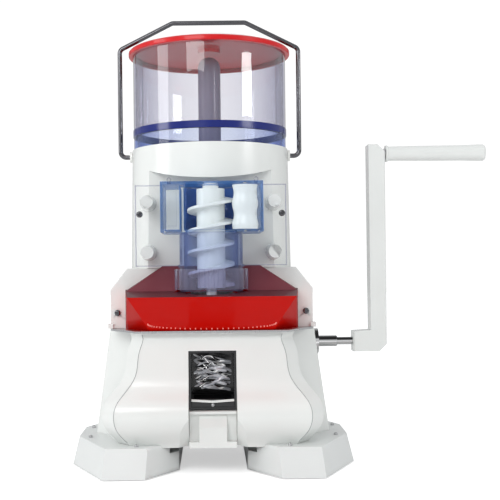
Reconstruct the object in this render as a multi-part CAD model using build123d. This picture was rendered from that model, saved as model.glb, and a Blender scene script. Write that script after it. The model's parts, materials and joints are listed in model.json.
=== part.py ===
from build123d import *
import math
import os

# Hand-cranked shaved ice machine, in millimetres.
# Every height below is counted from the floor, on the machine's upright axis. The finished
# parts are lowered by ORIGIN_Z, so that the origin is the centre of the drain hole in the base
# plate's underside. +Z is up, the front faces -Y, and the crank is on the +X side.

# ---- driving dimensions ----
WALL = 3.0  # moulded plastic wall
GAP = 0.3  # gap between parts that are only placed together
RUN = 0.05  # radial running clearance of a shaft in its bearing

# Feet: tapered blocks, eight-sided in plan
FOOT_TOP = 30.0
FOOT_Z = 1.0  # underside of the foot, the pads stand 1 mm lower
PAD_R = 9.0
FOOT_FLOOR_PLAN = (
    (66.5, -124), (109.5, -124), (148, -44), (148, 16), (109.5, 96), (66.5, 96), (34.5, 52), (34.5, -80)
)
FOOT_TOP_PLAN = ((64.5, -117), (106, -117), (141, -42), (141, 14), (106, 89), (64.5, 89), (36, 51), (36, -79))
POCKET_Z = 27.0  # floor of the pocket that the base stands in
ORIGIN_Z = POCKET_Z + 1  # underside of the base plate
DRAIN_R = 8.0

# Base housing and front shell
BASE_TOP = 141.5
HOUSING_W_TOP = 109.5
HOUSING_W_FOOT = 125.5
HOUSING_FRONT = -52.0
HOUSING_REAR = 86.0
SHELL_BACK = -53.0
SHELL_BEVEL = 13.0  # width of the bevelled border of the front shell
# Height, half width and depth of the front shell, from the top down to the feet
SHELL_RINGS = (
    (BASE_TOP, 84.0, 96.0),
    (125.0, 85.2, 96.0),
    (108.0, 88.0, 96.2),
    (96.0, 91.0, 97.5),
    (86.0, 97.5, 101.0),
    (78.0, 104.0, 107.0),
    (70.0, 108.8, 113.0),
    (60.0, 110.5, 115.5),
    (50.0, 109.0, 114.0),
    (39.0, 103.0, 107.5),
    (POCKET_Z, 95.0, 99.0),
)
WINDOW_W = 24.0  # half width of the window
WINDOW_Z0 = 64.0
WINDOW_Z1 = 123.0
BAY_BACK = -44.0

# Shoulder, deck and hood
DECK_Z = 143.5
SHOULDER_W = 105.3
SHOULDER_Z = 184.0
SHOULDER_FRONT = -55.0
SHOULDER_REAR = 84.0
COLUMN_Z0 = 206.0
HOOD_WALL = 2.5
HOOD_TOP = 208.5
HOOD_ROOF_Z = 184.0
RIDGE_Y = -145.0
RIDGE_Z = 178.5
DECK_FRONT = -104.0

# Column, hopper and lid
COLUMN_R0 = 87.0
COLUMN_R1 = 84.8
COLUMN_Z1 = 334.0
COLUMN_FLAT = -57.0
CHIN_Z = 297.0  # lowest point of the collar above the flat front
CHIN_RISE = 19.0  # degrees
HOPPER_R = 83.3
HOPPER_Z1 = 440.0
RING_Z0 = 348.5
RING_Z1 = 355.7
POST_R = 12.3
POST_TOP = 437.0
LID_R = 88.0
LID_Z0 = 436.5
LID_RIM = 442.0
BAIL_R = 2.5
BAIL_Z = 328.0
BAIL_X = 98.0
BAIL_TOP = 475.0
BAIL_CORNER_Z = 446.0
BAIL_TOP_X = 40.0

# Feed box, tube, auger and roller
AUGER_Y = -102.0
AUGER_CORE = 14.0
AUGER_R = 23.2
AUGER_PITCH = 21.0
JOURNAL_R = 7.0  # the auger's top journal, in the roof of the feed box
PLATE_Y = -93.0
PLATE_T = 3.0
PLATE_W = 76.0
PLATE_Z = (207.5, 289.5)
BOX_X = (-48.5, 50.7)
BOX_Y = (-133.0, -60.0)
BOX_Z = (240.5, 289.5)
BOX_WALL = 2.5
TUBE_R = 31.5
TUBE_BORE = 27.0
COLLAR_R = 36.6
COLLAR_Z = (184.8, 205.0)
ROLLER_AT = (33.6, -116.4)
ROLLER_R = 12.8

# Crank and gears
CRANK_Z = 124.0
BEVEL_TEETH = 20
BEVEL_MODULE = 1.6
SPUR_MODULE = 2.0
DRIVE_TEETH = 26
IDLER_TEETH = 30
AUGER_TEETH = 16
IDLER_Y = -SPUR_MODULE * (DRIVE_TEETH + IDLER_TEETH) / 2
SPUR_Z = (169.5, 176.0)
RING_TEETH = 54
CUTTER_R = 77.0
CUTTER_Z = (144.5, 150.0)
ARM_X = (173.0, 190.5)
ARM_D = 21.0
GRIP_Z = 329.0
GRIP_END = 302.0
SHAFT_R = 6.0

PARTS = {}


# ---- small helpers ----
def block(x, y, z):
    """Box between two limits on each axis."""
    centre = Pos((x[0] + x[1]) / 2, (y[0] + y[1]) / 2, (z[0] + z[1]) / 2)
    return centre * Box(x[1] - x[0], y[1] - y[0], z[1] - z[0])


def rod_z(radius, z0, z1, x=0.0, y=0.0):
    return Pos(x, y, (z0 + z1) / 2) * Cylinder(radius, z1 - z0)


def rod_x(radius, x0, x1, y=0.0, z=0.0):
    return Pos((x0 + x1) / 2, y, z) * Rot(0, 90, 0) * Cylinder(radius, x1 - x0)


def rod_y(radius, y0, y1, x=0.0, z=0.0):
    return Pos(x, (y0 + y1) / 2, z) * Rot(90, 0, 0) * Cylinder(radius, y1 - y0)


def outline(points, z):
    """Flat face with straight sides at height z."""
    return Pos(0, 0, z) * make_face(Polyline(*[(x, y, 0) for x, y in points], close=True))


def prism(points, z0, z1):
    return extrude(outline(points, z0), z1 - z0, dir=(0, 0, 1))


def front_prism(points, y0, y1):
    """Straight-sided outline in X and Z, pulled from y0 to y1."""
    face = make_face(Polyline(*[(x, y0, z) for x, z in points], close=True))
    return extrude(face, y1 - y0, dir=(0, 1, 0))


def mirrored(points):
    """Right half of an outline, front to back, completed with its left half."""
    return list(points) + [(-x, y) for x, y in reversed(points)]


def polyhedron(corners, faces):
    """Solid from flat faces, each a list of corner names."""
    sides = [Face(Wire.make_polygon([corners[c] for c in f], close=True)) for f in faces]
    return Solid(Shell(sides))


def outside_of(a, b, c, size=200.0):
    """Thick slab on the outer side of the plane through three points."""
    origin = Vector(*a)
    across = Vector(*b) - origin
    normal = across.cross(Vector(*c) - origin)
    return Plane(origin=origin, x_dir=across, z_dir=normal) * Pos(0, 0, size / 2) * Box(size, size, size)


def pan_screw(radius, length):
    """Screw with its head's underside at z = 0, head up and shank down."""
    head = Pos(0, 0, 0.6 * radius) * Cylinder(radius, 1.2 * radius)
    head = fillet(head.edges().group_by(Axis.Z)[-1], 0.5 * radius)
    shank = Pos(0, 0, -length / 2) * Cylinder(0.5 * radius, length)
    slot = Pos(0, 0, 1.2 * radius) * (Box(1.1 * radius, 0.3 * radius, 0.7 * radius))
    cross = Rot(0, 0, 90) * slot
    return head + shank - slot - cross


# ---- base ----
def make_foot():
    body = loft([outline(FOOT_FLOOR_PLAN, FOOT_Z), outline(FOOT_TOP_PLAN, FOOT_TOP)], ruled=True)
    body -= block((30, 44), (-130, 100), (20, 40))
    return body


def pad_places():
    return [(x, y) for x in (66, 108) for y in (-98, 70)]


def shell_ring(z, half, depth, inset):
    w = half - inset
    d = depth - inset
    b = SHELL_BEVEL
    right = [(w - b, -d), (w, -d + b * 1.3), (w, SHELL_BACK)]
    return outline(mirrored(right), z)


def shell_solid(inset):
    rings = [shell_ring(z, w, d, inset) for z, w, d in SHELL_RINGS]
    return loft(rings)


def leg_facets(shift):
    """Wedges that lean in towards the middle under each leg, moved outwards by shift."""
    cuts = []
    for side in (-1, 1):
        a = (side * WINDOW_W, -118 + shift, 60)
        b = (side * 53, -118 + shift, 31)
        c = (side * WINDOW_W, -97 + shift, 36)
        cut = outside_of(a, b, c) if side < 0 else outside_of(a, c, b)
        own_side = sorted((side * (WINDOW_W - 1), side * 60))
        cuts.append(cut & block(own_side, (-130, -90 + 3 * shift), (20, 62)))
    return cuts


def make_front_shell():
    hull = shell_solid(0) - leg_facets(0)
    inner = shell_solid(WALL) & block((-150, 150), (-150, SHELL_BACK), (0, BASE_TOP - WALL))
    shell = hull - (inner - leg_facets(WALL * 1.6))
    for side in (-1, 1):
        cheek_x = sorted((side * WINDOW_W, side * (WINDOW_W + 2.5)))
        cheek = block(cheek_x, (-130, -60), (POCKET_Z, WINDOW_Z1 + 2.5))
        shell += cheek & hull
    shell += block((-WINDOW_W, WINDOW_W), (-130, -60), (WINDOW_Z1, WINDOW_Z1 + 2.5)) & hull
    opening = block((-WINDOW_W, WINDOW_W), (-130, -60), (20, WINDOW_Z1))
    return (shell - opening).solid()


def make_lower_panel():
    """Recessed centre between the legs: a leaning trapezoid over a sill."""
    w = WINDOW_W - GAP
    body = block((-w, w), (-96, -88), (POCKET_Z, WINDOW_Z0 - 1))
    side = [(-96, 60), (-110, 34), (-110, 33), (-96, 33)]
    ramp_face = make_face(Polyline(*[(-14, y, z) for y, z in side], close=True))
    ramp = extrude(ramp_face, 28, dir=(1, 0, 0))
    sill = block((-w, w), (-103, -96), (POCKET_Z, 33))
    lip = block((-w, w), (-100, -88), (WINDOW_Z0 - 4, WINDOW_Z0 - 1))
    return body + (ramp & block((-14, 14), (-103, -96), (33, 62))) + sill + lip


def housing_ring(z, inset):
    run = (BASE_TOP - z) / (BASE_TOP - POCKET_Z)
    w = HOUSING_W_TOP + (HOUSING_W_FOOT - HOUSING_W_TOP) * run - inset
    front = 84.0 + 12.0 * run - inset
    y0 = HOUSING_FRONT + inset
    right = [(front, y0), (w, y0 + 30), (w, HOUSING_REAR - 22), (w - 20, HOUSING_REAR - inset)]
    return outline(mirrored(right), z)


def make_base_housing():
    outer = loft([housing_ring(POCKET_Z, 0), housing_ring(BASE_TOP, 0)], ruled=True)
    inner = loft([housing_ring(POCKET_Z, WALL), housing_ring(BASE_TOP, WALL)], ruled=True)
    body = outer - (inner & block((-150, 150), (-90, 90), (0, BASE_TOP - WALL)))
    body -= block((-76, 76), (-60, HOUSING_FRONT + 5), (POCKET_Z, BASE_TOP - WALL))
    body -= rod_x(10.05, 90, 130, 0, CRANK_Z)
    body -= rod_z(9.0, 130, 150)
    body -= block((-20, 26), (-19, 19), (130, 150))
    body -= block((-50, 50), (78, 90), (50, 120))
    return body


def make_rear_cover():
    cover = block((-60, 60), (HOUSING_REAR, HOUSING_REAR + 2.5), (40, 130))
    cover = fillet(cover.edges().filter_by(Axis.Y), 6)
    louvre = block((-36, 36), (80, 92), (0, 3.5))
    for step in range(5):
        cover -= Pos(0, 0, 62 + 10 * step) * louvre
    for x in (-53, 53):
        for z in (47, 123):
            cover -= rod_y(1.6, 80, 92, x, z)
    return cover


def base_group():
    foot = make_foot()
    leg = shell_solid(-GAP) + loft([housing_ring(POCKET_Z, -GAP), housing_ring(60, -GAP)], ruled=True)
    foot -= leg & block((-150, 150), (-150, 100), (POCKET_Z, 60))
    for x, y in pad_places():
        foot -= rod_z(PAD_R + 0.1, 0, 3, x, y)
    dots = [(76, -108), (128, -52), (132, 8)]
    for x, y in dots:
        foot -= rod_z(1.2, 20, 40, x, y)
    PARTS["foot_right"] = foot
    PARTS["foot_left"] = mirror(foot, about=Plane.YZ)
    pads = [rod_z(PAD_R, 0, 3, s * x, y) for s in (-1, 1) for x, y in pad_places()]
    PARTS["foot_pads"] = Compound(pads)
    screws = [Pos(s * x, y, FOOT_TOP) * pan_screw(2.0, 6) for s in (-1, 1) for x, y in dots]
    PARTS["foot_screws"] = Compound([s.solid() for s in screws])
    PARTS["front_shell"] = make_front_shell()
    PARTS["lower_panel"] = make_lower_panel()
    housing = make_base_housing()
    for x in (-53, 53):
        for z in (47, 123):
            housing -= rod_y(1.1, 80, 90, x, z)
    PARTS["base_housing"] = housing
    PARTS["rear_cover"] = make_rear_cover()
    heads = [
        Pos(x, HOUSING_REAR + 2.5, z) * Rot(-90, 0, 0) * pan_screw(2.2, 4)
        for x in (-53, 53)
        for z in (47, 123)
    ]
    PARTS["rear_cover_screws"] = Compound([s.solid() for s in heads])
    plate = block((-88, 88), (-45, 78), (POCKET_Z + 1, POCKET_Z + 3))
    plate -= rod_z(DRAIN_R, 0, 60)
    PARTS["base_plate"] = plate


def bay_group():
    w = WINDOW_W - GAP
    liner = block((-w, w), (-92.8, BAY_BACK), (WINDOW_Z0, WINDOW_Z1 - GAP))
    liner -= block((-w + 2, w - 2), (-100, BAY_BACK - 2), (WINDOW_Z0 + 2, WINDOW_Z1 - 2.5))
    liner -= block((-w + 5, w - 5), (-88, BAY_BACK - 6), (110, 130))
    PARTS["bay_liner"] = liner
    t = w - 2 - GAP
    tray = block((-t, t), (-91, -52), (WINDOW_Z0 + 2, WINDOW_Z0 + 10))
    tray -= block((-t + 2, t - 2), (-88.5, -54), (WINDOW_Z0 + 4, WINDOW_Z0 + 20))
    tray -= rod_y(0.9, -95, -85, 0, WINDOW_Z0 + 4.2)
    PARTS["ice_tray"] = tray
    strip = [(-t, 8.0), (0, 6.6), (t, 8.0), (t, 10.2), (0, 8.8), (-t, 10.2)]
    edge = front_prism([(x, WINDOW_Z0 + z) for x, z in strip], -93.5, -91)
    PARTS["tray_edge"] = edge
    knob = Pos(0, -91, WINDOW_Z0 + 4.2) * Rot(90, 0, 0) * pan_screw(1.8, 4)
    PARTS["tray_screw"] = knob.solid()


# ---- shoulder, deck and hood ----
def make_shoulder():
    w = SHOULDER_W
    front = [(-w, DECK_Z), (w, DECK_Z), (w, SHOULDER_Z), (88, COLUMN_Z0), (-88, COLUMN_Z0), (-w, SHOULDER_Z)]
    body = front_prism(front, SHOULDER_FRONT, SHOULDER_REAR)
    t = WALL
    inner = [(-w + t, 0), (w - t, 0), (w - t, SHOULDER_Z - 1), (86, COLUMN_Z0 - t), (-86, COLUMN_Z0 - t)]
    inner += [(-w + t, SHOULDER_Z - 1)]
    body -= front_prism(inner, SHOULDER_FRONT + t, SHOULDER_REAR - t)
    body -= block((-80, 80), (SHOULDER_FRONT - 5, SHOULDER_FRONT + 5), (DECK_Z, 180))
    body -= rod_z(60, 190, 220) & block((-60, 60), (-40, 60), (190, 220))
    lips = [block((s * 105.3 - 3, s * 105.3 + 3), (-57, -50), (DECK_Z, DECK_Z + 5)) for s in (-1, 1)]
    return body + lips[0] + lips[1]


def hood_front_hull(inset):
    """Low front part of the hood: overhanging face, side facets and a nearly level roof."""
    i = inset
    corners = []
    for s in (-1, 1):
        corners.append(Vector(s * (89.6 - i), -57.2, HOOD_ROOF_Z - i))
        corners.append(Vector(s * (86.5 - i), -92, HOOD_ROOF_Z - 1 - i))
        corners.append(Vector(s * (80.4 - i), RIDGE_Y + 1.6 * i, RIDGE_Z - i))
        corners.append(Vector(s * (61.6 - i), -101 + i, DECK_Z))
        corners.append(Vector(s * (87.0 - i), -66, DECK_Z))
        corners.append(Vector(s * (89.6 - i), -57.2, DECK_Z))
    return hull_of(corners)


def hood_rear_hull(inset):
    """Roof that slopes up from the level part to the column, behind and beside the collar nut."""
    i = inset
    corners = []
    for s in (-1, 1):
        for y in (-57.2, -61.0):
            corners.append(Vector(s * (50 - i), y - i * (y == -57.2), HOOD_TOP - 1.5 * i))
        corners.append(Vector(s * (88.4 - 1.6 * i), -57.2 - i, HOOD_ROOF_Z - 0.6))
        corners.append(Vector(s * (86.0 - 1.6 * i), -91 + 1.6 * i, HOOD_ROOF_Z - 1.2))
        corners.append(Vector(s * (80.0 - 1.6 * i), -57.2 - i, HOOD_ROOF_Z - 6))
        corners.append(Vector(s * (78.0 - 1.6 * i), -86 + 1.6 * i, HOOD_ROOF_Z - 6))
    return hull_of(corners)


def make_hood():
    """One hollow moulding, open below and behind, with a round recess for the collar nut."""
    hood = hood_front_hull(0) + hood_rear_hull(0)
    hood -= hood_front_hull(HOOD_WALL)
    hood -= hood_rear_hull(HOOD_WALL)
    hood -= block((-84, 84), (-60, -50), (DECK_Z - 1, 181))
    hood -= rod_z(COLLAR_R + 0.6, 181.8, 220, 0, AUGER_Y)
    hood -= rod_z(TUBE_BORE, 170, 190, 0, AUGER_Y)
    return hood


def hull_of(corners):
    """Convex solid over a few corner points."""
    count = len(corners)
    centre = sum(corners, Vector(0, 0, 0)) / count
    planes = []
    for i in range(count):
        for j in range(i + 1, count):
            for k in range(j + 1, count):
                normal = (corners[j] - corners[i]).cross(corners[k] - corners[i])
                if normal.length < 1e-6:
                    continue
                normal = normal.normalized()
                side = [normal.dot(p - corners[i]) for p in corners]
                if max(side) < 1e-4 or min(side) > -1e-4:
                    out = normal if max(side) < 1e-4 else normal * -1
                    known = any(
                        out.dot(n) > 0.999999 and abs(n.dot(corners[i] - p)) < 1e-4 for n, p in planes
                    )
                    if not known:
                        planes.append((out, corners[i]))
    body = Pos(centre.X, centre.Y, centre.Z) * Box(400, 400, 400)
    for out, point in planes:
        body -= Plane(origin=point, z_dir=out) * Pos(0, 0, 300) * Box(900, 900, 600)
    return body.solid()


def upper_base_group():
    deck_plan = mirrored([(76, DECK_FRONT), (88, -80), (105, -57), (105, 82)])
    deck = prism(deck_plan, BASE_TOP, DECK_Z)
    deck -= rod_z(40, 130, 150)
    PARTS["deck_plate"] = deck
    shoulder = make_shoulder()
    for x in (-98, 98):
        shoulder -= rod_y(1.6, -60, -50, x, 160)
    PARTS["shoulder_cover"] = shoulder
    screws = [Pos(x, SHOULDER_FRONT, 160) * Rot(90, 0, 0) * pan_screw(3.2, 2.8) for x in (-98, 98)]
    PARTS["shoulder_screws"] = Compound([s.solid() for s in screws])
    PARTS["red_hood"] = make_hood()


# ---- column, hopper, lid and bail ----
def column_solid(inset):
    side = [(0, COLUMN_Z0), (COLUMN_R0 - inset, COLUMN_Z0), (COLUMN_R1 - inset, COLUMN_Z1), (0, COLUMN_Z1)]
    body = revolve(make_face(Polyline(*[(x, 0, z) for x, z in side], close=True)), axis=Axis.Z)
    flat = COLUMN_FLAT + inset
    rise = math.tan(math.radians(CHIN_RISE))
    front = -COLUMN_R0
    chin = CHIN_Z + rise * (flat - front)
    side = [(front - 9, 190), (flat, 190), (flat, chin + inset), (front - 9, CHIN_Z - rise * 9 + inset)]
    face = make_face(Polyline(*[(-100, y, z) for y, z in side], close=True))
    return body - extrude(face, 200, dir=(1, 0, 0))


def standoff_places():
    return [(s * 64.5, z) for s in (-1, 1) for z in (222, 273)]


def make_column():
    inner = column_solid(WALL) & block((-100, 100), (-100, 100), (COLUMN_Z0, COLUMN_Z1 - 22))
    column = column_solid(0) - inner
    column -= rod_z(78, COLUMN_Z1 - 30, COLUMN_Z1 - 15)
    column -= rod_z(COLUMN_R1 - 2.5, COLUMN_Z1 - 16, COLUMN_Z1 + 5)
    column -= block((-26, 26), (-62, -50), (245, 285))
    for s in (-1, 1):
        column -= rod_x(4.05, *sorted((s * 70, s * 95)), 0, BAIL_Z)
    return column


def hopper_group():
    PARTS["column_shell"] = make_column()
    base = rod_z(COLUMN_R1 - 2.8, COLUMN_Z1 - 14.8, COLUMN_Z1 + 1)
    base += rod_z(HOPPER_R - 0.3, COLUMN_Z1, RING_Z0)
    base -= rod_z(HOPPER_R - 4, COLUMN_Z1 - 8, RING_Z0 + 2)
    base -= Pos(0, -40, 0) * rod_z(18, 300, 350)
    for s in (-1, 1):
        base -= rod_x(4.2, *sorted((s * 70, s * 95)), 0, BAIL_Z)
    PARTS["hopper_base"] = base
    ring = rod_z(HOPPER_R + 0.5, RING_Z0, RING_Z1) - rod_z(HOPPER_R - 4, RING_Z0 - 1, RING_Z1 + 1)
    PARTS["navy_ring"] = ring
    wall = rod_z(HOPPER_R, RING_Z1, HOPPER_Z1) - rod_z(HOPPER_R - WALL, RING_Z1 - 1, HOPPER_Z1 + 1)
    for s in (-1, 1):
        x = s * (HOPPER_R - WALL - 3.2)
        rib = rod_z(4.5, RING_Z1, HOPPER_Z1 - 8, x) + Pos(x, 0, HOPPER_Z1 - 8) * Sphere(4.5)
        wall += rib
    PARTS["hopper_cylinder"] = wall
    foot = COLUMN_Z1 - 8
    post = rod_z(POST_R, foot, POST_TOP - POST_R) + Pos(0, 0, POST_TOP - POST_R) * Sphere(POST_R)
    PARTS["centre_post"] = post - rod_z(POST_R - 2.5, foot + 3, POST_TOP - POST_R)


def lid_group():
    rim = [(0, LID_RIM + 3.2), (60, LID_RIM + 1.2)]
    rim += [(HOPPER_R - 5, HOPPER_Z1 + 0.4), (HOPPER_R + 0.4, HOPPER_Z1 + 0.4)]
    rim += [(HOPPER_R + 0.4, LID_Z0), (LID_R - 0.6, LID_Z0), (LID_R, LID_Z0 + 0.8), (LID_R, LID_RIM - 1.5)]
    rim += [(LID_R - 1.5, LID_RIM), (LID_R - 12, LID_RIM + 1.8), (60, LID_RIM + 4), (0, LID_RIM + 6)]
    face = make_face(Polyline(*[(x, 0, z) for x, z in rim], close=True))
    lid = revolve(face, axis=Axis.Z)
    lid += rod_z(12, POST_TOP + 4, LID_RIM + 4)
    PARTS["lid"] = lid
    z = LID_RIM
    cap = [(0, z + 6), (60, z + 4), (70, z + 2.6), (72, z + 3.2)]
    cap += [(70, z + 5.4), (56, z + 7.6), (30, z + 9.2), (0, z + 9.8)]
    face = make_face(Polyline(*[(x, 0, h) for x, h in cap], close=True))
    PARTS["lid_cap"] = revolve(face, axis=Axis.Z) - lid


def bail_group():
    inner = 84.0
    with BuildLine() as path:
        line = FilletPolyline(
            (inner - 6, 0, BAIL_Z),
            (BAIL_X, 0, BAIL_Z),
            (BAIL_X, 0, BAIL_CORNER_Z),
            (BAIL_TOP_X, 0, BAIL_TOP),
            (-BAIL_TOP_X, 0, BAIL_TOP),
            (-BAIL_X, 0, BAIL_CORNER_Z),
            (-BAIL_X, 0, BAIL_Z),
            (-inner + 6, 0, BAIL_Z),
            radius=6,
        )
    start = Plane(origin=path.line @ 0, z_dir=path.line % 0)
    PARTS["bail_handle"] = sweep(start * Circle(BAIL_R), path=path.line)
    bushes = []
    for s in (-1, 1):
        bush = rod_x(4.0, *sorted((s * 79, s * 86.5)), 0, BAIL_Z)
        bush += rod_x(6.0, *sorted((s * 85.05, s * 87.6)), 0, BAIL_Z)
        bushes.append(bush - rod_x(BAIL_R + RUN, *sorted((s * 70, s * 95)), 0, BAIL_Z))
    PARTS["bail_bushes"] = Compound([b.solid() for b in bushes])


# ---- feed box, auger and roller ----
def feed_group():
    posts = []
    for x, z in standoff_places():
        cone = Cone(6.5, 9.0, 44, align=(Align.CENTER, Align.CENTER, Align.MIN))
        cone = Pos(x, PLATE_Y + PLATE_T, z) * Rot(-90, 0, 0) * cone
        posts.append((cone - column_solid(0)).solids().sort_by(Axis.Y)[0])
    PARTS["plate_standoffs"] = Compound(posts)
    plate = block((-PLATE_W, PLATE_W), (PLATE_Y, PLATE_Y + PLATE_T), PLATE_Z)
    plate = fillet(plate.edges().filter_by(Axis.Y), 1.5)
    for s in (-1, 1):
        low = block(sorted((s * 45, s * 72)), (PLATE_Y - 1, PLATE_Y + 0.8), (212, 217))
        plate -= low
        plate -= rod_y(1.6, -100, -85, s * 71.3, 260)
    screws = [Pos(s * 71.3, PLATE_Y, 260) * Rot(90, 0, 0) * pan_screw(3.2, 6) for s in (-1, 1)]
    PARTS["plate_screws"] = Compound([s.solid() for s in screws])
    outer = block(BOX_X, BOX_Y, BOX_Z)
    t = BOX_WALL
    box = outer - block((-26, BOX_X[1] - t), (BOX_Y[0] + t, BOX_Y[1] + 1), (BOX_Z[0] + t, BOX_Z[1] - t))
    box -= block((BOX_X[0] + t, -30), (BOX_Y[0] + t, BOX_Y[1] + 1), (BOX_Z[0] + t, BOX_Z[1] - t))
    box -= block((BOX_X[0] + 5.5, -33), (BOX_Y[0] - 1, BOX_Y[0] + 1), (BOX_Z[0] + 6, BOX_Z[1] - 6))
    box -= rod_z(TUBE_BORE - 1.6, BOX_Z[0] - 1, BOX_Z[0] + 5, 0, AUGER_Y)
    box -= rod_z(JOURNAL_R + RUN, BOX_Z[1] - 5, BOX_Z[1] + 1, 0, AUGER_Y)
    x, y = ROLLER_AT
    box -= rod_z(2.0, BOX_Z[0] - 1, BOX_Z[1] + 1, x, y)
    for px in (-40, 44):
        box -= rod_z(1.5, BOX_Z[1] - 5, BOX_Z[1] + 1, px, -128)
    PARTS["feed_box"] = box
    pins = []
    for px in (-40, 44):
        pin = rod_z(1.4, BOX_Z[1] - 2.4, BOX_Z[1] + 2, px, -128) + Pos(px, -128, BOX_Z[1] + 2) * Sphere(2.2)
        pins.append((pin - outer + (pin & rod_z(1.4, 280, 300, px, -128))).solid())
    PARTS["box_pins"] = Compound(pins)
    opening = block((BOX_X[0] - GAP, BOX_X[1] + GAP), (-150, -50), (BOX_Z[0] - GAP, 300))
    plate -= opening
    tube = rod_z(TUBE_R, COLLAR_Z[1] - 22, BOX_Z[0], 0, AUGER_Y)
    plate -= rod_z(TUBE_R + GAP, 200, 250, 0, AUGER_Y)
    PARTS["feed_plate"] = plate
    tube -= rod_z(TUBE_BORE, 150, 250, 0, AUGER_Y)
    tube += rod_z(TUBE_R + 1.5, 206.5, 209, 0, AUGER_Y) - rod_z(TUBE_BORE, 150, 250, 0, AUGER_Y)
    PARTS["feed_tube"] = tube
    PARTS["feed_plate"] -= rod_z(TUBE_R + 1.8, 200, 210, 0, AUGER_Y)


def make_collar():
    collar = rod_z(COLLAR_R, *COLLAR_Z, 0, AUGER_Y)
    collar = chamfer(collar.edges().group_by(Axis.Z)[-1], 1.2)
    flute = rod_z(2.6, COLLAR_Z[0] - 1, COLLAR_Z[1] + 1)
    count = 26
    for i in range(count):
        a = 2 * math.pi * i / count
        collar -= Pos((COLLAR_R + 1.2) * math.cos(a), AUGER_Y + (COLLAR_R + 1.2) * math.sin(a), 0) * flute
    return collar - rod_z(TUBE_R + 0.1, 150, 250, 0, AUGER_Y)


def make_auger():
    z0, z1 = 186.0, 284.0
    core = rod_z(AUGER_CORE, z0, z1, 0, AUGER_Y)
    core += rod_z(JOURNAL_R + 0.9, z1, BOX_Z[1] - BOX_WALL - 0.1, 0, AUGER_Y)
    core += rod_z(JOURNAL_R, BOX_Z[1] - BOX_WALL - 0.2, BOX_Z[1] + 1, 0, AUGER_Y)
    core += rod_z(5.0, 161, z0, 0, AUGER_Y)
    core = fillet(core.edges().filter_by(GeomType.CIRCLE).group_by(Axis.Z)[-1], 1)
    turns = (z1 - z0 - 8) / AUGER_PITCH
    helix = Helix(AUGER_PITCH, AUGER_PITCH * turns, AUGER_CORE)
    profile = Plane(origin=helix @ 0, z_dir=helix % 0, x_dir=(1, 0, 0))
    reach = AUGER_R - AUGER_CORE
    blade = Polyline((-2, -2.6), (-2, 2.6), (reach, 1.3), (reach, -1.3), close=True)
    flight = sweep(profile * make_face(blade), path=helix, is_frenet=True)
    return core + Pos(0, AUGER_Y, z0 + 3) * flight


def make_roller():
    """Scalloped idler roller, drawn as one revolved outline."""
    x, y = ROLLER_AT
    z0, z1 = BOX_Z[0] + BOX_WALL + 0.5, BOX_Z[1] - BOX_WALL - 0.5
    steps = 24
    side = []
    for i in range(steps + 1):
        z = z0 + (z1 - z0) * i / steps
        side.append((ROLLER_R - 0.9 + 0.9 * math.cos(2 * math.pi * (z - z0 - 4) / AUGER_PITCH), 0, z))
    with BuildLine() as line:
        Spline(*side)
        Polyline(side[-1], (0, 0, z1), (0, 0, z0), side[0])
    body = revolve(make_face(line.line), axis=Axis.Z)
    bore = rod_z(2.0, z0 - 1, z1 + 1)
    return Pos(x, y, 0) * (body - bore)


def feed_moving_group():
    PARTS["collar_nut"] = make_collar()
    PARTS["auger"] = make_auger()
    PARTS["roller"] = make_roller()
    x, y = ROLLER_AT
    pin = rod_z(2.0 - RUN, BOX_Z[0] + 0.2, BOX_Z[1], x, y)
    PARTS["roller_pin"] = pin + rod_z(3.2, BOX_Z[1], BOX_Z[1] + 0.8, x, y)


# ---- crank, gears and cutter ----
def gear_outline(teeth, module, phase, backlash):
    """Corner points of a spur gear with involute flanks, one tooth centred on the phase angle."""
    pressure = math.radians(20)
    pitch_r = teeth * module / 2
    base_r = pitch_r * math.cos(pressure)
    tip_r = pitch_r + module
    root_r = pitch_r - 1.25 * module
    at_pitch = math.tan(pressure) - pressure
    half = math.pi / (2 * teeth) - backlash / (2 * pitch_r)
    low_r = max(base_r, root_r)
    points = []
    for tooth in range(teeth):
        middle = phase + 2 * math.pi * tooth / teeth
        flank = []
        for step in range(5):
            r = low_r + (tip_r - low_r) * step / 4
            a = math.acos(min(1.0, base_r / r))
            flank.append((r, half + at_pitch - (math.tan(a) - a)))
        shape = [(root_r, flank[0][1])] + flank if low_r > root_r + 0.01 else flank
        for r, a in shape:
            points.append((r * math.cos(middle - a), r * math.sin(middle - a)))
        for r, a in reversed(shape):
            points.append((r * math.cos(middle + a), r * math.sin(middle + a)))
    return points


def spur_gear(teeth, phase, bore, y):
    points = gear_outline(teeth, SPUR_MODULE, phase, 0.4)
    gear = prism(points, *SPUR_Z) - rod_z(bore, SPUR_Z[0] - 1, SPUR_Z[1] + 1)
    return Pos(0, y, 0) * gear


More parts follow.
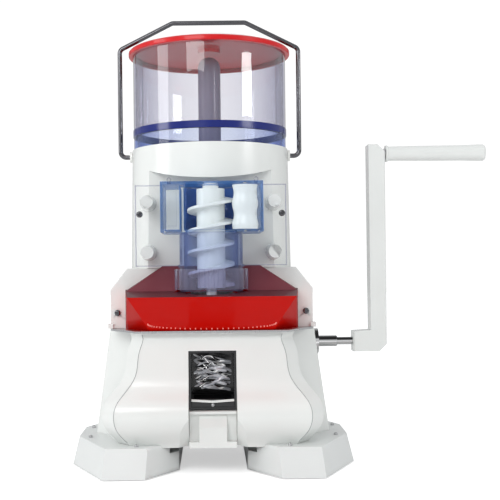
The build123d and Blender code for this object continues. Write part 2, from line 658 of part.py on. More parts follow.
def bevel_gear(phase):
    """Mitre gear on the Z axis with its cone's apex at the origin, teeth facing up from below."""
    n, m = BEVEL_TEETH, BEVEL_MODULE
    r = n * m / 2
    face = 7.0
    cone = math.sqrt(2) * r
    near = (cone - face) / cone
    turn = math.sqrt(0.5)
    half = math.pi * m / 4 - 0.2
    slope = math.tan(math.radians(20))

    def tooth_corner(across, up, angle, scale):
        # Up stands square to the pitch cone, across runs along the pitch circle.
        rad = (r + up * turn) * scale
        z = (-r + up * turn) * scale
        side = across * scale
        x = rad * math.cos(angle) - side * math.sin(angle)
        y = rad * math.sin(angle) + side * math.cos(angle)
        return Vector(x, y, z)

    low, high = -1.25 * m - 0.6, 0.9 * m
    body_side = [(0, -r - 1.2 * m * turn - 7)]
    out = tooth_corner(0, -1.2 * m, 0, 1.0)
    inn = tooth_corner(0, -1.2 * m, 0, near)
    body_side += [(out.X - 4, -r - 1.2 * m * turn - 7), (out.X, out.Z - 2), (out.X, out.Z)]
    body_side += [(inn.X, inn.Z), (0, inn.Z)]
    blank = revolve(make_face(Polyline(*[(x, 0, z) for x, z in body_side], close=True)), axis=Axis.Z)
    shape = [(half + slope * -low, low), (half - slope * high, high)]
    gear = blank
    teeth = []
    for i in range(n):
        angle = phase + 2 * math.pi * i / n
        corners = {}
        for tag, scale in (("o", 1.0), ("i", near)):
            (w0, u0), (w1, u1) = shape
            corners[tag + "a"] = tooth_corner(-w0, u0, angle, scale)
            corners[tag + "b"] = tooth_corner(w0, u0, angle, scale)
            corners[tag + "c"] = tooth_corner(w1, u1, angle, scale)
            corners[tag + "d"] = tooth_corner(-w1, u1, angle, scale)
        faces = [("oa", "ob", "oc", "od"), ("ia", "id", "ic", "ib"), ("oa", "ia", "ib", "ob")]
        faces += [("ob", "ib", "ic", "oc"), ("oc", "ic", "id", "od"), ("od", "id", "ia", "oa")]
        teeth.append(polyhedron(corners, faces))
    return gear + teeth


def make_cutter_ring():
    """Toothed ring with a spoked middle and slots for three blades."""
    z0, z1 = CUTTER_Z
    ring = rod_z(CUTTER_R - 3.5, z0, z1) - rod_z(52, z0 - 1, z1 + 1)
    for i in range(3):
        ring += Rot(0, 0, 120 * i) * block((8, 60), (-9, 9), (z0, z0 + 3))
    ring += rod_z(15, z0, z1 + 3)
    tooth = block((CUTTER_R - 5, CUTTER_R), (-2.2, 2.2), (z0 + 0.4, z1))
    for i in range(RING_TEETH):
        ring += Rot(0, 0, 360 * (i + 0.5) / RING_TEETH) * tooth
    ring -= rod_z(SHAFT_R, z0 - 1, z1 + 5)
    return ring


def rotor_group():
    PARTS["cutter_ring"] = make_cutter_ring()
    blades, screws = [], []
    z = CUTTER_Z[0] + 3
    for i in range(3):
        turn = Rot(0, 0, 120 * i)
        blade = block((18, 50), (-6.5, 6.5), (z, z + 1.2))
        blade = chamfer(blade.edges().filter_by(Axis.X).group_by(Axis.Z)[-1].sort_by(Axis.Y)[0], 1.0)
        for x in (24, 44):
            blade -= rod_z(1.0, z - 1, z + 3, x)
            screws.append((turn * Pos(x, 0, z + 1.2) * pan_screw(2.0, 3.2)).solid())
        blades.append((turn * blade).solid())
    PARTS["cutter_blades"] = Compound(blades)
    drill = Compound([Rot(0, 0, 120 * i) * rod_z(1.0, z - 2.4, z + 1, x) for i in range(3) for x in (24, 44)])
    PARTS["cutter_ring"] -= drill
    PARTS["blade_screws"] = Compound(screws)
    PARTS["upright_shaft"] = rod_z(SHAFT_R, 58, 190)
    lower = Pos(0, 0, CRANK_Z) * bevel_gear(0.0)
    PARTS["upright_bevel"] = lower - rod_z(SHAFT_R, 50, CRANK_Z)
    PARTS["drive_gear"] = spur_gear(DRIVE_TEETH, -math.pi / 2, SHAFT_R, 0)
    PARTS["idler_gear"] = spur_gear(IDLER_TEETH, math.pi / 2 + math.pi / IDLER_TEETH, 4 + RUN, IDLER_Y)
    PARTS["auger_gear"] = spur_gear(AUGER_TEETH, math.pi / 2, 5.0, AUGER_Y)


def support_group():
    """Bearings and brackets fixed inside the machine."""
    z0, z1 = SPUR_Z[0] - 6.5, SPUR_Z[0] - 1.0
    bar = block((-6, 6), (AUGER_Y, -34), (z0, z1)) + rod_z(9, z0, z1, 0, AUGER_Y)
    bar += block((-70, 70), (-51.5, -46), (z0, z1)) + rod_z(9, z0, z1, 0, IDLER_Y)
    bar -= rod_z(5 + RUN, z0 - 1, z1 + 1, 0, AUGER_Y)
    bar -= rod_z(4, z0 - 1, z1 + 1, 0, IDLER_Y)
    for s in (-1, 1):
        bar += block(sorted((s * 70, s * 102.3)), (-51.5, -46), (z0 - 12, z1 + 6))
    PARTS["auger_bracket"] = bar
    pin = rod_z(4, z0, SPUR_Z[1] + 1.5, 0, IDLER_Y)
    PARTS["idler_pin"] = pin - rod_z(1.2, SPUR_Z[1] - 4, SPUR_Z[1] + 2, 0, IDLER_Y)
    upper = block((-72, 72), (-14, 14), (183, 188)) + rod_z(16, 180, 188)
    upper -= rod_z(10, 170, 200)
    PARTS["upper_bridge"] = upper
    bearing = rod_z(10, 180, 188) - rod_z(SHAFT_R + RUN, 170, 200)
    PARTS["upper_bearing"] = bearing
    frame = block((-34, 34), (-24, 24), (56, 62)) - rod_z(9.5, 50, 70)
    frame += block((-34, -30), (-24, 24), (POCKET_Z + 3, 62)) + block((30, 34), (-24, 24), (POCKET_Z + 3, 62))
    frame += block((56, 62), (-16, 16), (POCKET_Z + 3, CRANK_Z + 13)) - rod_x(10, 50, 70, 0, CRANK_Z)
    frame += block((30, 62), (-16, 16), (POCKET_Z + 3, POCKET_Z + 7))
    PARTS["gear_bracket"] = frame
    PARTS["lower_bearing"] = rod_z(9.5, 56, 62) - rod_z(SHAFT_R + RUN, 50, 70)
    PARTS["inner_bushing"] = rod_x(10, 55, 63, 0, CRANK_Z) - rod_x(SHAFT_R + RUN, 50, 70, 0, CRANK_Z)
    bush = rod_x(10, 98, 113, 0, CRANK_Z) + rod_x(14, 112.2, 116, 0, CRANK_Z)
    bush -= rod_x(SHAFT_R + RUN, 90, 120, 0, CRANK_Z)
    PARTS["crank_bushing"] = bush - PARTS["base_housing"]


def crank_group():
    thin = 4.2
    shaft = rod_x(SHAFT_R, 9, 137, 0, CRANK_Z)
    shaft = chamfer(shaft.edges().group_by(Axis.X)[-1], 0.6) + rod_x(thin, 137, 172, 0, CRANK_Z)
    PARTS["crank_shaft"] = shaft
    half_pitch = math.pi / BEVEL_TEETH
    gear = Pos(0, 0, CRANK_Z) * Rot(0, -90, 0) * bevel_gear(half_pitch)
    PARTS["crank_bevel"] = gear - rod_x(SHAFT_R, 0, 80, 0, CRANK_Z)
    x0, x1 = ARM_X
    z0, z1 = CRANK_Z - 11.2, CRANK_Z + 11.0
    top = GRIP_Z + 9.5
    side = [(154, z0), (x1 - 8, z0), (x1, z0 + 8), (x1, top - 8)]
    side += [(x1 - 8, top), (x0 - 0.5, top), (x0, z1 + 1), (154, z1)]
    arm = front_prism(side, -ARM_D / 2, ARM_D / 2)
    arm = chamfer(arm.edges().filter_by(Axis.Z), 1.2)
    arm -= rod_x(thin, 150, 172, 0, CRANK_Z)
    arm -= rod_x(3.0, 178, 192, 0, GRIP_Z)
    arm -= rod_z(1.5, z0 - 1, CRANK_Z - 3.9, 163)
    PARTS["crank_arm"] = arm
    PARTS["set_screw"] = rod_z(1.5, z0 + 0.4, CRANK_Z - 4.3, 163) - rod_z(0.8, z0, z0 + 2, 163)
    spindle = rod_x(3.0, 178, 296, 0, GRIP_Z)
    spindle += rod_x(5.2, 190.5, 192, 0, GRIP_Z) + rod_x(5.0, 296, 297.5, 0, GRIP_Z)
    PARTS["grip_spindle"] = spindle
    end = GRIP_END
    side = [(192.4, 0), (192.4, 9.0), (194.6, 9.0), (195.4, 7.9), (197, 7.8)]
    side += [(230, 8.2), (275, 8.4), (294, 9.0), (end - 2.5, 9.0), (end - 0.6, 7.8), (end, 5.6), (end, 0)]
    grip = revolve(make_face(Polyline(*[(x, 0, z) for x, z in side], close=True)), axis=Axis.X)
    grip -= rod_x(3.0 + RUN, 190, 296.1, 0, 0) + rod_x(5.5, 295.9, 303, 0, 0)
    PARTS["crank_grip"] = Pos(0, 0, GRIP_Z) * grip
    PARTS["grip_cap"] = rod_x(5.5, 298.5, end, 0, GRIP_Z)


def main():
    base_group()
    bay_group()
    upper_base_group()
    hopper_group()
    lid_group()
    bail_group()
    feed_group()
    feed_moving_group()
    rotor_group()
    support_group()
    crank_group()
    os.makedirs("parts", exist_ok=True)
    for name, shape in PARTS.items():
        export_step(Pos(0, 0, -ORIGIN_Z) * shape, f"parts/{name}.step")


main()
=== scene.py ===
import json
import math

import bmesh
import bpy
from mathutils import Matrix, Vector


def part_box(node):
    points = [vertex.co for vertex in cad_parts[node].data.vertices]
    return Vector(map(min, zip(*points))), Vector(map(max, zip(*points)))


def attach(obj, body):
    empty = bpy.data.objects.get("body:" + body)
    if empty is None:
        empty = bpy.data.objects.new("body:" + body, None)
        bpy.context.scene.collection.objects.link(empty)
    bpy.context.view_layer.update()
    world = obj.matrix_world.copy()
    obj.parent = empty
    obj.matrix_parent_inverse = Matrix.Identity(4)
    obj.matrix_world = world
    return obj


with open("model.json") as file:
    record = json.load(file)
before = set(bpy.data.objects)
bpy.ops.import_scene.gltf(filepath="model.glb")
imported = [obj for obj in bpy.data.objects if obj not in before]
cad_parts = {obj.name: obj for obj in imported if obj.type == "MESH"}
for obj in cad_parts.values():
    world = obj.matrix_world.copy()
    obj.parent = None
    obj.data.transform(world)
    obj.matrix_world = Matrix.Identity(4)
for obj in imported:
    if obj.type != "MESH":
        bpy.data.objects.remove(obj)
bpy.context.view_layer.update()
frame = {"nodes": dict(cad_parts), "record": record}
NODES = frame["nodes"]
SCENE = bpy.context.scene
FLOOR_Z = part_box("foot_pads")[0].z


# ---- materials ----
def new_material(name):
    mat = bpy.data.materials.new(name)
    mat.use_nodes = True
    tree = mat.node_tree
    return mat, tree.nodes, tree.links, tree.nodes["Principled BSDF"]


def set_input(bsdf, **values):
    names = {
        "rough": "Roughness", "metal": "Metallic", "ior": "IOR",
        "coat": "Coat Weight", "coat_rough": "Coat Roughness",
    }
    for key, value in values.items():
        bsdf.inputs[names[key]].default_value = value


def grain(nodes, links, bsdf, scale, depth, colour, spread, rough, rough_spread):
    """Fine moulding grain: noise drives a bump, a slight colour change and the roughness."""
    place = nodes.new("ShaderNodeTexCoord")
    noise = nodes.new("ShaderNodeTexNoise")
    noise.inputs["Scale"].default_value = scale
    noise.inputs["Detail"].default_value = 4.0
    links.new(place.outputs["Object"], noise.inputs["Vector"])
    cloud = nodes.new("ShaderNodeTexNoise")
    cloud.inputs["Scale"].default_value = 14.0
    links.new(place.outputs["Object"], cloud.inputs["Vector"])
    ramp = nodes.new("ShaderNodeValToRGB")
    ramp.color_ramp.elements[0].position = 0.35
    ramp.color_ramp.elements[1].position = 0.65
    ramp.color_ramp.elements[0].color = (*[c * (1 - spread) for c in colour], 1)
    ramp.color_ramp.elements[1].color = (*colour, 1)
    links.new(cloud.outputs["Fac"], ramp.inputs["Fac"])
    links.new(ramp.outputs["Color"], bsdf.inputs["Base Color"])
    span = nodes.new("ShaderNodeMapRange")
    span.inputs["To Min"].default_value = max(0.0, rough - rough_spread)
    span.inputs["To Max"].default_value = rough + rough_spread
    links.new(cloud.outputs["Fac"], span.inputs["Value"])
    links.new(span.outputs["Result"], bsdf.inputs["Roughness"])
    bump = nodes.new("ShaderNodeBump")
    bump.inputs["Strength"].default_value = depth
    bump.inputs["Distance"].default_value = 0.0002
    links.new(noise.outputs["Fac"], bump.inputs["Height"])
    links.new(bump.outputs["Normal"], bsdf.inputs["Normal"])


def moulded(name, colour, rough=0.22, depth=0.05, spread=0.03, coat=0.25):
    mat, nodes, links, bsdf = new_material(name)
    grain(nodes, links, bsdf, 900.0, depth, colour, spread, rough, 0.04)
    set_input(bsdf, coat=coat, coat_rough=0.08, ior=1.49)
    return mat


def metal(name, colour, rough, stretch=(1, 1, 1)):
    """Polished or brushed metal, with fine lines along the stretched axis."""
    mat, nodes, links, bsdf = new_material(name)
    place = nodes.new("ShaderNodeTexCoord")
    mapping = nodes.new("ShaderNodeMapping")
    mapping.inputs["Scale"].default_value = stretch
    noise = nodes.new("ShaderNodeTexNoise")
    noise.inputs["Scale"].default_value = 500.0
    links.new(place.outputs["Object"], mapping.inputs["Vector"])
    links.new(mapping.outputs["Vector"], noise.inputs["Vector"])
    span = nodes.new("ShaderNodeMapRange")
    span.inputs["To Min"].default_value = rough * 0.7
    span.inputs["To Max"].default_value = rough * 1.4
    links.new(noise.outputs["Fac"], span.inputs["Value"])
    links.new(span.outputs["Result"], bsdf.inputs["Roughness"])
    bsdf.inputs["Base Color"].default_value = (*colour, 1)
    set_input(bsdf, metal=1.0)
    return mat


def tinted(
    name, face_on, edge_on, milk=(0.05, 0.1), milk_colour=(0.9, 0.9, 0.92),
    rough=0.05, falloff=0.3, gloss=1.0, shine=0.5,
):
    """Clear or tinted plastic. face_on and edge_on are what one surface lets through seen square and at a
    grazing angle; milk is the share of its surface that scatters, square and grazing, and gloss scales the
    mirror-like reflection. shine is the highlight on the scattering share. Light that falls through the
    plastic passes as if square to it, so what stands behind a thin wall stays evenly lit."""
    mat, nodes, links, bsdf = new_material(name)
    grain(nodes, links, bsdf, 300.0, 0.01, milk_colour, 0.02, 0.35, 0.05)
    bsdf.inputs["Specular IOR Level"].default_value = shine
    square = nodes.new("ShaderNodeBsdfTransparent")
    square.inputs["Color"].default_value = (*face_on, 1)
    graze = nodes.new("ShaderNodeBsdfTransparent")
    graze.inputs["Color"].default_value = (*edge_on, 1)
    weight = nodes.new("ShaderNodeLayerWeight")
    weight.inputs["Blend"].default_value = falloff
    path = nodes.new("ShaderNodeLightPath")
    slant = nodes.new("ShaderNodeMath")
    slant.operation = "MULTIPLY"
    links.new(weight.outputs["Facing"], slant.inputs[0])
    links.new(path.outputs["Is Camera Ray"], slant.inputs[1])
    tint = nodes.new("ShaderNodeMixShader")
    links.new(slant.outputs["Value"], tint.inputs["Fac"])
    links.new(square.outputs["BSDF"], tint.inputs[1])
    links.new(graze.outputs["BSDF"], tint.inputs[2])
    body = nodes.new("ShaderNodeMixShader")
    cloud = nodes.new("ShaderNodeMapRange")
    cloud.inputs["To Min"].default_value = milk[0]
    cloud.inputs["To Max"].default_value = milk[1]
    links.new(slant.outputs["Value"], cloud.inputs["Value"])
    links.new(cloud.outputs["Result"], body.inputs["Fac"])
    links.new(tint.outputs["Shader"], body.inputs[1])
    links.new(bsdf.outputs["BSDF"], body.inputs[2])
    mirror = nodes.new("ShaderNodeBsdfGlossy")
    mirror.inputs["Roughness"].default_value = rough
    fresnel = nodes.new("ShaderNodeFresnel")
    fresnel.inputs["IOR"].default_value = 1.45
    level = nodes.new("ShaderNodeMath")
    level.operation = "MULTIPLY"
    level.inputs[1].default_value = gloss
    links.new(fresnel.outputs["Fac"], level.inputs[0])
    side = nodes.new("ShaderNodeNewGeometry")
    front = nodes.new("ShaderNodeMath")
    front.operation = "SUBTRACT"
    front.inputs[0].default_value = 1.0
    links.new(side.outputs["Backfacing"], front.inputs[1])
    share = nodes.new("ShaderNodeMath")
    share.operation = "MULTIPLY"
    links.new(level.outputs["Value"], share.inputs[0])
    links.new(front.outputs["Value"], share.inputs[1])
    out = nodes.new("ShaderNodeMixShader")
    links.new(share.outputs["Value"], out.inputs["Fac"])
    links.new(body.outputs["Shader"], out.inputs[1])
    links.new(mirror.outputs["BSDF"], out.inputs[2])
    links.new(out.outputs["Shader"], nodes["Material Output"].inputs["Surface"])
    return mat


def paint_upward_shade(mat, dark):
    """Painted shade: faces that look up turn towards the dark colour in their base colour, standing in for
    the unlit inside seen through clear red plastic.
    """
    nodes, links = mat.node_tree.nodes, mat.node_tree.links
    bsdf = nodes["Principled BSDF"]
    base = bsdf.inputs["Base Color"].links[0].from_socket
    facing = nodes.new("ShaderNodeNewGeometry")
    split = nodes.new("ShaderNodeSeparateXYZ")
    share = nodes.new("ShaderNodeMapRange")
    share.inputs["From Min"].default_value = 0.1
    share.inputs["From Max"].default_value = 0.45
    mix = nodes.new("ShaderNodeMix")
    mix.data_type = "RGBA"
    colour_a, colour_b = mix.inputs[6], mix.inputs[7]
    colour_b.default_value = (*dark, 1)
    links.new(facing.outputs["Normal"], split.inputs["Vector"])
    links.new(split.outputs["Z"], share.inputs["Value"])
    links.new(share.outputs["Result"], mix.inputs[0])
    links.new(base, colour_a)
    links.new(mix.outputs[2], bsdf.inputs["Base Color"])
    return mat


def chrome_with_painted_reflection():
    """Polished chrome with a painted reflection: its base colour is banded by how far each face looks up,
    so the upper flank is dark, as a rod looks under a dark ceiling.
    """
    mat = metal("chrome", (0.8, 0.8, 0.82), 0.08, (0.03, 1, 1))
    nodes, links = mat.node_tree.nodes, mat.node_tree.links
    facing = nodes.new("ShaderNodeNewGeometry")
    split = nodes.new("ShaderNodeSeparateXYZ")
    height = nodes.new("ShaderNodeMapRange")
    height.inputs["From Min"].default_value = -1.0
    ramp = nodes.new("ShaderNodeValToRGB")
    # painted reflection: grey levels of the base colour from facing down (0) to facing up (1)
    painted_reflection_bands = ((0.0, 0.5), (0.42, 0.42), (0.5, 0.95), (0.6, 0.9), (0.66, 0.03), (0.9, 0.03), (1.0, 0.5))
    elements = ramp.color_ramp.elements
    elements[0].position, elements[1].position = painted_reflection_bands[0][0], painted_reflection_bands[-1][0]
    elements[0].color = (*[painted_reflection_bands[0][1]] * 3, 1)
    elements[1].color = (*[painted_reflection_bands[-1][1]] * 3, 1)
    for place, level in painted_reflection_bands[1:-1]:
        elements.new(place).color = (level, level, level, 1)
    links.new(facing.outputs["Normal"], split.inputs["Vector"])
    links.new(split.outputs["Z"], height.inputs["Value"])
    links.new(height.outputs["Result"], ramp.inputs["Fac"])
    links.new(ramp.outputs["Color"], nodes["Principled BSDF"].inputs["Base Color"])
    return mat


MATERIALS = {
    "white_plastic": moulded("white_plastic", (0.79, 0.81, 0.79)),
    "foot_plastic": moulded("foot_plastic", (0.74, 0.76, 0.75), rough=0.38, depth=0.12, coat=0.08),
    "rubber_pad": moulded("rubber_pad", (0.03, 0.03, 0.03), rough=0.75, depth=0.3, coat=0.0),
    "steel": metal("steel", (0.52, 0.52, 0.53), 0.28, (1, 1, 0.05)),
    "dark_steel": metal("dark_steel", (0.13, 0.13, 0.14), 0.2),
    "chrome": chrome_with_painted_reflection(),
    "bronze": metal("bronze", (0.5, 0.33, 0.14), 0.3),
    "black_plastic": moulded("black_plastic", (0.008, 0.008, 0.01), rough=0.18),
    # red_clear: the greyish dark red below is painted shade on faces that look up.
    "red_clear": paint_upward_shade(
        tinted(
            "red_clear", (0.42, 0.03, 0.02), (0.08, 0.0, 0.01),
            milk=(0.78, 0.3), milk_colour=(0.9, 0.004, 0.0), gloss=0.15, shine=0.06,
        ),
        (0.28, 0.075, 0.095),
    ),
    "lid_red": tinted(
        "lid_red", (0.6, 0.05, 0.06), (0.3, 0.0, 0.02),
        milk=(0.75, 0.8), milk_colour=(0.8, 0.006, 0.01), gloss=0.5, shine=0.3,
    ),
    "cap_white": moulded("cap_white", (0.9, 0.9, 0.9)),
    "ring_red": moulded("ring_red", (0.85, 0.12, 0.1), rough=0.3),
    "clear": tinted("clear", (0.995, 0.995, 0.998), (0.45, 0.45, 0.62), milk=(0.0, 0.1), gloss=0.4),
    "hopper_clear": tinted(
        "hopper_clear", (0.95, 0.95, 0.968), (0.5, 0.5, 0.62), milk=(0.02, 0.1), rough=0.02, gloss=1.6
    ),
    "clear_violet": tinted(
        "clear_violet", (0.88, 0.87, 0.92), (0.4, 0.37, 0.58),
        milk=(0.06, 0.3), milk_colour=(0.6, 0.57, 0.75), gloss=1.3,
    ),
    "clear_blue": tinted(
        "clear_blue", (0.87, 0.9, 0.965), (0.2, 0.3, 0.66),
        milk=(0.02, 0.2), milk_colour=(0.3, 0.42, 0.8), gloss=1.1,
    ),
    "blue_box": tinted(
        "blue_box", (0.965, 0.982, 0.996), (0.02, 0.18, 0.62),
        milk=(0.01, 0.85), milk_colour=(0.01, 0.19, 0.6), gloss=0.5,
    ),
    # Dark blue of the wall behind the auger: partly the box's blue plastic, partly painted shade of the
    # unlit chamber.
    "chamber_blue_shade": tinted(
        "chamber_blue_shade", (0.35, 0.5, 0.8), (0.05, 0.15, 0.5),
        milk=(0.45, 0.9), milk_colour=(0.05, 0.13, 0.42), gloss=0.4,
    ),
    # Pale pink for the hood's small ridges is a painted highlight on red plastic.
    "tooth_highlight_pink": moulded("tooth_highlight_pink", (0.95, 0.32, 0.28), rough=0.25),
    # Grey-violet for the clear plate's outline is painted shade along its edge.
    "edge_shade_violet": moulded("edge_shade_violet", (0.3, 0.3, 0.42), rough=0.25, coat=0.0),
    # Grey for the shell's grooves is painted shade in the groove.
    "groove_shade_grey": moulded("groove_shade_grey", (0.36, 0.38, 0.38), rough=0.6, coat=0.0),
    "ice": tinted(
        "ice", (0.8, 0.82, 0.86), (0.55, 0.58, 0.68),
        milk=(0.35, 0.5), milk_colour=(0.95, 0.96, 1.0), gloss=6.0,
    ),
    "navy": moulded("navy", (0.002, 0.012, 0.16), rough=0.2, coat=0.2),
    "frosted": moulded("frosted", (0.22, 0.2, 0.28), rough=0.42),
    "nylon": moulded("nylon", (0.86, 0.87, 0.84), rough=0.32),
}


# A node whose finish differs from the rest of its slot.
NODE_FINISH = {"hopper_cylinder": "hopper_clear"}


def paint_cad():
    """Every CAD node takes the material of its slot, unless NODE_FINISH names another."""
    slots = {s["node"]: s["material_slot"] for s in frame["record"]["subparts"]}
    for name, obj in NODES.items():
        obj.data.materials.clear()
        obj.data.materials.append(MATERIALS[NODE_FINISH.get(name, slots[name])])


# ---- extra detail pieces; lengths in metres ----
RIBBON_COUNT = 26
RIBBON_THICK = 0.0005
RIBBON_STEPS = 8
RIBBON_WIDTHS = (0.0018, 0.0040)
RIBBON_SIDE_GAP = 0.0035
RIBBON_TOP_GAP = 0.009
RIBBON_FRONT_GAP = 0.010
RIBBON_FALL = 0.030
RIBBON_DEPTH = 0.010
RIBBON_TILT = 0.010
RIBBON_CURL_UP = 0.0022
RIBBON_CURL_BACK = 0.004
TOOTH_COUNT = 37
TOOTH_ROW_HALF = 0.063
TOOTH_RADII = (0.0007, 0.0006, 0.0016)
TOOTH_ROW_LIFT = 0.0024
TOOTH_ROW_SAG = 0.0055
TOOTH_STAND_OFF = 0.0004
HOOD_FACE_HEIGHT = 0.035
HOOD_FACE_LEAN = 44.0 / 35.0
LINER_R = 0.0265
LINER_WALL = 0.0014
LINER_END_GAP = 0.0032
LINER_START_DEG = 22
LINER_TURN_DEG = 136
LINER_STEPS = 24
GROOVE_STEPS = 26
GROOVE_R = 0.00035
FLAT_BAND = 0.0003
PLATE_EDGE_R = 0.0004
WELD_REACH = 0.00001
EDGE_WIDTHS = {
    "red_hood": 0.0009, "foot_left": 0.0008, "foot_right": 0.0008, "crank_arm": 0.0009,
    "feed_box": 0.0005, "shoulder_cover": 0.0006, "lower_panel": 0.0004,
}


def mesh_piece(name, bm, body, material):
    mesh = bpy.data.meshes.new(name)
    bm.to_mesh(mesh)
    bm.free()
    obj = bpy.data.objects.new(name, mesh)
    SCENE.collection.objects.link(obj)
    for face in mesh.polygons:
        face.use_smooth = True
    obj.data.materials.append(MATERIALS[material])
    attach(obj, body)
    return obj


def wave(seed):
    """Repeatable value from 0 to 1 for a whole number."""
    value = math.sin(12.9898 * seed + 4.1) * 43758.5453
    return value - math.floor(value)


def ribbon(name, points, width, material, body):
    """Thin flat strip that follows points and twists a little along its length."""
    bm = bmesh.new()
    rows = []
    for i, p in enumerate(points):
        twist = 0.7 * math.sin(1.3 * i + points[0].z * 900)
        half = Vector((0.15, math.sin(twist), math.cos(twist))) * (width / 2)
        rows.append((bm.verts.new(p - half), bm.verts.new(p + half)))
    for (a, b), (c, d) in zip(rows, rows[1:]):
        bm.faces.new((a, c, d, b))
    obj = mesh_piece(name, bm, body, material)
    solid = obj.modifiers.new("thickness", "SOLIDIFY")
    solid.thickness = RIBBON_THICK
    smooth = obj.modifiers.new("smooth", "SUBSURF")
    smooth.levels = smooth.render_levels = 2
    return obj


def ice_ribbons():
    """Shiny curls of shaved ice that hang in the upper half of the window."""
    low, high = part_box("bay_liner")
    middle = (low.x + high.x) / 2
    reach = (high.x - low.x) / 2 - RIBBON_SIDE_GAP
    top = high.z - RIBBON_TOP_GAP
    front = low.y + RIBBON_FRONT_GAP
    narrow, wide = RIBBON_WIDTHS
    for k in range(RIBBON_COUNT):
        a, b, c = wave(k), wave(k + 50), wave(k + 100)
        drop = RIBBON_FALL * k / RIBBON_COUNT
        tilt = RIBBON_TILT * (a - 0.35)
        span = reach * (0.55 + 0.45 * b)
        points = []
        for i in range(RIBBON_STEPS):
            t = 2 * i / (RIBBON_STEPS - 1) - 1
            x = middle + span * t + (reach - span) * (c - 0.5)
            z = top - drop - tilt * t + RIBBON_CURL_UP * math.sin(2.6 * t + 6 * a)
            y = front + RIBBON_DEPTH * b + RIBBON_CURL_BACK * math.sin(2.1 * t + 5 * c)
            points.append(Vector((x, y, z)))
        finish = "chrome" if k % 3 == 0 else "ice"
        width = narrow + (wide - narrow) * c
        ribbon(f"ice_ribbon_{k:02d}", points, width, finish, "frame")


def hood_teeth():
    """Row of small ridges along the foot of the hood's front face, in a shallow arc; their pale pink is a
    painted highlight on the red plastic.
    """
    low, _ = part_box("red_hood")
    foot_y = low.y + HOOD_FACE_LEAN * HOOD_FACE_HEIGHT
    bm = bmesh.new()
    for i in range(TOOTH_COUNT):
        t = 2 * i / (TOOTH_COUNT - 1) - 1
        x = TOOTH_ROW_HALF * math.sin(t * math.pi / 2)
        up = TOOTH_ROW_LIFT + TOOTH_ROW_SAG * t * t
        centre = Vector((x, foot_y - HOOD_FACE_LEAN * up - TOOTH_STAND_OFF, low.z + up))
        bmesh.ops.create_icosphere(
            bm, subdivisions=2, radius=1.0,
            matrix=Matrix.Translation(centre)
            @ Matrix.Rotation(-math.atan(HOOD_FACE_LEAN), 4, "X")
            @ Matrix.Diagonal((*TOOTH_RADII, 1.0)),
        )
    mesh_piece("hood_teeth", bm, "frame", "tooth_highlight_pink")


def chamber_liner():
    """Dark blue half round wall behind the auger, inside the feed box; its dark blue is partly the blue
    plastic and partly painted shade of the unlit chamber.
    """
    box_low, box_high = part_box("feed_box")
    auger_low, auger_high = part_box("auger_gear")
    axis = (auger_low + auger_high) / 2
    inner, outer = LINER_R, LINER_R + LINER_WALL
    z0, z1 = box_low.z + LINER_END_GAP, box_high.z - LINER_END_GAP
    bm = bmesh.new()
    rings = []
    for i in range(LINER_STEPS + 1):
        a = math.radians(LINER_START_DEG + LINER_TURN_DEG * i / LINER_STEPS)
        ring = []
        for r, z in ((inner, z0), (inner, z1), (outer, z1), (outer, z0)):
            ring.append(bm.verts.new((axis.x + r * math.cos(a), axis.y + r * math.sin(a), z)))
        rings.append(ring)
    for one, two in zip(rings, rings[1:]):
        for j in range(4):
            k = (j + 1) % 4
            bm.faces.new((one[j], one[k], two[k], two[j]))
    bm.faces.new(rings[0])
    bm.faces.new(list(reversed(rings[-1])))
    bmesh.ops.recalc_face_normals(bm, faces=bm.faces)
    mesh_piece("chamber_liner", bm, "frame", "chamber_blue_shade")


def shell_edge(side):
    """Points up the front shell where its face meets the bevelled border, from level cuts of its mesh."""
    low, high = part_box("front_shell")
    bottom, top = low.z + 0.006, high.z - 0.002
    points = []
    for i in range(GROOVE_STEPS + 1):
        level = bottom + (top - bottom) * i / GROOVE_STEPS
        bm = bmesh.new()
        bm.from_mesh(NODES["front_shell"].data)
        geom = bm.verts[:] + bm.edges[:] + bm.faces[:]
        cut = bmesh.ops.bisect_plane(bm, geom=geom, plane_co=(0, 0, level), plane_no=(0, 0, 1))
        row = [v.co.copy() for v in cut["geom_cut"] if isinstance(v, bmesh.types.BMVert)]
        bm.free()
        front = min(p.y for p in row)
        points.append(max((p for p in row if p.y < front + FLAT_BAND), key=lambda p: p.x * side))
    return points


def thin_line(name, points, radius, material, closed=False):
    """Fine line through points, riding on the frame."""
    curve = bpy.data.curves.new(name, "CURVE")
    curve.dimensions = "3D"
    curve.bevel_depth = radius
    line = curve.splines.new("POLY")
    line.use_cyclic_u = closed
    line.points.add(len(points) - 1)
    for target, p in zip(line.points, points):
        target.co = (*p, 1)
    obj = bpy.data.objects.new(name, curve)
    SCENE.collection.objects.link(obj)
    curve.materials.append(MATERIALS[material])
    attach(obj, "frame")


def shell_grooves():
    """Fine moulded line along each side of the front shell, drawn as a thin grey line whose grey is
    painted shade in the groove.
    """
    for tag, side in (("left", -1), ("right", 1)):
        thin_line(f"shell_groove_{tag}", shell_edge(side), GROOVE_R, "groove_shade_grey")


def plate_outline():
    """Bright edge of the clear plate, which its thickness makes look like a thin dark frame; that dark
    frame is painted shade, a grey-violet line round the plate.
    """
    low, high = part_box("feed_plate")
    inset = 2 * PLATE_EDGE_R
    left, right = low.x + inset, high.x - inset
    bottom, top = low.z + inset, high.z - inset
    y = low.y + inset
    corners = [(left, y, bottom), (right, y, bottom), (right, y, top), (left, y, top)]
    thin_line("plate_outline", corners, PLATE_EDGE_R, "edge_shade_violet", closed=True)


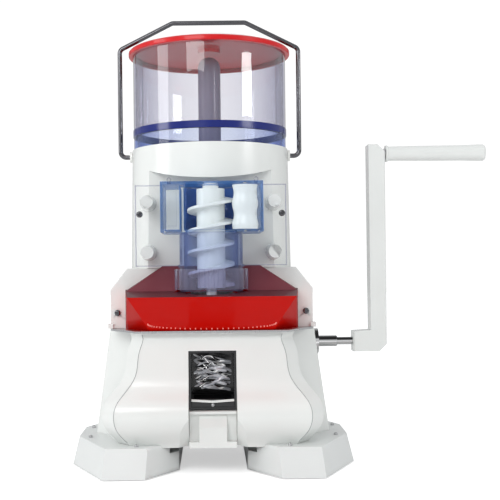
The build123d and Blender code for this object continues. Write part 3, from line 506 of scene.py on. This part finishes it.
def soften_edges():
    """Small rounded edges on the flat-sided mouldings, so that they catch the light."""
    for name, width in EDGE_WIDTHS.items():
        weld = NODES[name].modifiers.new("weld", "WELD")
        weld.merge_threshold = WELD_REACH
        bevel = NODES[name].modifiers.new("edges", "BEVEL")
        bevel.width = width
        bevel.segments = 2
        bevel.limit_method = "ANGLE"
        bevel.angle_limit = math.radians(28)
        bevel.harden_normals = True


# ---- stage, light and camera ----
# World and floor levels are strengths, lamp levels are watts, and FLOOR_SIZE is in metres.
WORLD_LEVEL = 0.9
FLOOR_SIZE = 6.0
FLOOR_LIFT = 0.5
KEY_WATTS = 8.5
WINDOW_WATTS = 3.2
SIDE_WATTS = 6.5


def sheet(name, size, location, rotation=(0, 0, 0)):
    bm = bmesh.new()
    bmesh.ops.create_grid(bm, x_segments=1, y_segments=1, size=size)
    mesh = bpy.data.meshes.new(name)
    bm.to_mesh(mesh)
    bm.free()
    obj = bpy.data.objects.new(name, mesh)
    obj.location = location
    obj.rotation_euler = rotation
    SCENE.collection.objects.link(obj)
    return obj


def area_light(name, location, target, size, power):
    data = bpy.data.lights.new(name, "AREA")
    data.shape = "RECTANGLE"
    data.size = size[0]
    data.size_y = size[1]
    data.energy = power
    obj = bpy.data.objects.new(name, data)
    obj.location = location
    obj.rotation_euler = (Vector(target) - Vector(location)).to_track_quat("-Z", "Y").to_euler()
    SCENE.collection.objects.link(obj)


def studio_world():
    """White surround for the camera, softer and slightly darker towards the floor for everything else."""
    world = bpy.data.worlds.new("studio")
    SCENE.world = world
    world.use_nodes = True
    nodes, links = world.node_tree.nodes, world.node_tree.links
    soft = nodes["Background"]
    place = nodes.new("ShaderNodeTexCoord")
    split = nodes.new("ShaderNodeSeparateXYZ")
    ramp = nodes.new("ShaderNodeValToRGB")
    ramp.color_ramp.elements[0].position = 0.35
    ramp.color_ramp.elements[0].color = (0.34, 0.34, 0.35, 1)
    ramp.color_ramp.elements[1].position = 0.8
    ramp.color_ramp.elements[1].color = (0.8, 0.81, 0.82, 1)
    height = nodes.new("ShaderNodeMapRange")
    height.inputs["From Min"].default_value = -1.0
    links.new(place.outputs["Generated"], split.inputs["Vector"])
    links.new(split.outputs["Z"], height.inputs["Value"])
    links.new(height.outputs["Result"], ramp.inputs["Fac"])
    links.new(ramp.outputs["Color"], soft.inputs["Color"])
    soft.inputs["Strength"].default_value = WORLD_LEVEL
    white = nodes.new("ShaderNodeBackground")
    white.inputs["Strength"].default_value = 1.05
    white.inputs["Color"].default_value = (1, 1, 1, 1)
    path = nodes.new("ShaderNodeLightPath")
    mix = nodes.new("ShaderNodeMixShader")
    links.new(path.outputs["Is Camera Ray"], mix.inputs["Fac"])
    links.new(soft.outputs["Background"], mix.inputs[1])
    links.new(white.outputs["Background"], mix.inputs[2])
    links.new(mix.outputs["Shader"], nodes["World Output"].inputs["Surface"])


def make_floor():
    """Pale matt floor, lifted towards white where the camera sees it, so only contact shadows show."""
    floor = sheet("floor", FLOOR_SIZE, (0, 0, FLOOR_Z - 0.0005))
    mat, nodes, links, bsdf = new_material("floor")
    bsdf.inputs["Base Color"].default_value = (0.93, 0.93, 0.93, 1)
    bsdf.inputs["Specular IOR Level"].default_value = 0.1
    set_input(bsdf, rough=0.9)
    path = nodes.new("ShaderNodeLightPath")
    lift = nodes.new("ShaderNodeMath")
    lift.operation = "MULTIPLY"
    lift.inputs[1].default_value = FLOOR_LIFT
    links.new(path.outputs["Is Camera Ray"], lift.inputs[0])
    bsdf.inputs["Emission Color"].default_value = (1, 1, 1, 1)
    links.new(lift.outputs["Value"], bsdf.inputs["Emission Strength"])
    floor.data.materials.append(mat)


def make_stage():
    make_floor()
    studio_world()
    aim = (0, 0, 0.2)
    area_light("key", (-0.55, -1.55, 1.0), aim, (0.8, 0.6), KEY_WATTS)
    area_light("left_window", (-1.42, -0.5, 0.72), aim, (0.5, 0.9), SIDE_WATTS)
    area_light("right_window", (1.25, -0.85, 0.64), (0, 0, 0.36), (0.42, 0.16), WINDOW_WATTS)


# Level camera in front of the machine; lengths in metres, roll in radians.
CAMERA_DISTANCE = 1.045
CAMERA_EYE = 0.2077
CAMERA_SPAN = 0.55
CAMERA_SHIFT_X = 0.0774
CAMERA_SHIFT_Y = 0.032
CAMERA_ROLL = -0.0113


def make_camera():
    """Front view at mid height; CAMERA_SPAN is the width seen at the plane of the crank and post."""
    data = bpy.data.cameras.new("camera")
    data.sensor_width = 36.0
    data.lens = data.sensor_width * CAMERA_DISTANCE / CAMERA_SPAN
    data.shift_x = CAMERA_SHIFT_X
    data.shift_y = CAMERA_SHIFT_Y
    obj = bpy.data.objects.new("camera", data)
    obj.matrix_world = (
        Matrix.Translation((0, -CAMERA_DISTANCE, FLOOR_Z + CAMERA_EYE))
        @ Matrix.Rotation(math.radians(90), 4, "X")
        @ Matrix.Rotation(CAMERA_ROLL, 4, "Z")
    )
    SCENE.collection.objects.link(obj)
    SCENE.camera = obj


SCENE.view_settings.view_transform = "Standard"
paint_cad()
soften_edges()
ice_ribbons()
hood_teeth()
chamber_liner()
shell_grooves()
plate_outline()
make_stage()
make_camera()
